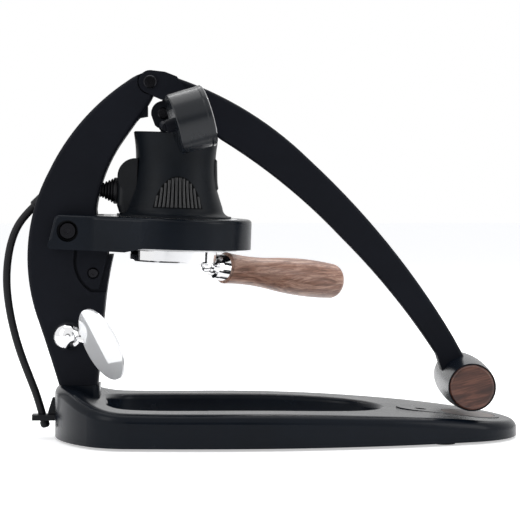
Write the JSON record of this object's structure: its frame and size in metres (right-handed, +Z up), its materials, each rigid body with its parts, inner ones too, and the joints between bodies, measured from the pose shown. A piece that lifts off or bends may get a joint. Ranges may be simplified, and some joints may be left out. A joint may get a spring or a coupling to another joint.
{
  "type": "manual lever espresso maker",
  "caption": "Tabletop lever espresso maker: ring-shaped cast base, curved post, heated brew head in a yoke, long lever with cross grip, wood-handled filter holder, gauge and mirror.",
  "frame": {"origin": "on the floor under the middle of the cast base's length and width", "axes": "+X from the post towards the lever's grip, +Y to the side away from the gauge, +Z up"},
  "size_m": [0.3968, 0.2076, 0.2825],
  "materials": {
    "black_coat": "fine matt powder coat",
    "black_plastic": "soft matt moulding",
    "black_rubber": "matt",
    "dark_screws": "black oxide",
    "steel": "satin",
    "chrome": "polished",
    "mirror": "polished",
    "walnut": "oiled walnut",
    "dial": "printed face with plain numbers",
    "needle_red": "enamel",
    "glass": "clear"
  },
  "bodies": {
    "root": {"base_casting": "black_coat", "base_feet": "black_rubber", "wood_disc": "walnut", "post_screws": "dark_screws", "post": "black_coat", "support_lugs": "black_coat", "lug_screws": "dark_screws", "pivot_bush": "dark_screws", "yoke": "black_coat", "yoke_bolt": "dark_screws", "bayonet_ring": "steel", "brew_chamber": "steel", "heater_band": "black_plastic", "group_gasket": "black_rubber", "dispersion_screen": "steel", "chamber_sleeve": "black_plastic", "connector_housing": "black_plastic", "strain_relief": "black_rubber", "cable_inner": "black_rubber", "post_grommet": "black_rubber", "power_cable": "black_rubber", "cable_clip": "black_plastic", "cable_connector": "black_plastic"},
    "lever": {"lever_arm": "black_coat", "lever_pivot_bolt": "dark_screws", "grip_barrel": "black_coat", "grip_caps": "walnut"},
    "stem": {"stem_clevis": "black_coat", "stem_rod": "steel", "stem_pin": "dark_screws", "gauge_pipe": "black_coat", "gauge_case": "black_coat", "gauge_bezel": "steel", "gauge_dial": "dial", "gauge_lens": "glass"},
    "needle": {"gauge_needle": "needle_red"},
    "piston": {"piston": "steel", "piston_seal": "black_rubber"},
    "portafilter": {"portafilter_body": "chrome", "filter_basket": "steel", "basket_spring": "steel", "portafilter_neck": "chrome", "portafilter_handle": "walnut"},
    "mirror_arm": {"mirror_magnet": "chrome", "mirror_stud": "chrome"},
    "mirror": {"mirror_plate": "mirror", "mirror_socket": "chrome"}
  },
  "joints": [
    {"name": "lever_swing", "type": "hinge", "parent": "root", "child": "lever", "pos_m": [-0.1044, 0, 0.2737], "axis": [0, -1, 0], "range_deg": [0, 100]},
    {"name": "stem_swing", "type": "hinge", "parent": "lever", "child": "stem", "pos_m": [-0.0944, 0, 0.2499], "axis": [0, -1, 0], "range_deg": [-114, 0]},
    {"name": "piston_slide", "type": "slide", "parent": "root", "child": "piston", "axis": [0.0332, 0, 0.9995], "range_m": [0, 0.0358]},
    {"name": "needle_turn", "type": "hinge", "parent": "stem", "child": "needle", "pos_m": [-0.06509, -0.05439, 0.24626], "axis": [-0.9529, -0.1339, -0.2723], "range_deg": [0, 230], "stiffness_Nm_per_rad": 0.001},
    {"name": "portafilter_turn", "type": "hinge", "parent": "root", "child": "portafilter", "pos_m": [-0.0865, 0, 0.17], "axis": [0.0332, 0, 0.9995], "range_deg": [-28, 0]},
    {"name": "mirror_swivel", "type": "hinge", "parent": "root", "child": "mirror_arm", "pos_m": [-0.1672, -0.0183, 0.0799], "axis": [0, 1, 0], "range_deg": [-60, 18]},
    {"name": "mirror_tilt", "type": "hinge", "parent": "mirror_arm", "child": "mirror", "pos_m": [-0.1549, -0.031, 0.0779], "axis": [0.69, -0.7151, -0.1122], "range_deg": [-30, 30]}
  ],
  "couplings": [
    {"joint": "stem_swing", "follows": "lever_swing", "ratio": -1.13},
    {"joint": "piston_slide", "follows": "lever_swing", "m_per_rad": 0.02025}
  ]
}
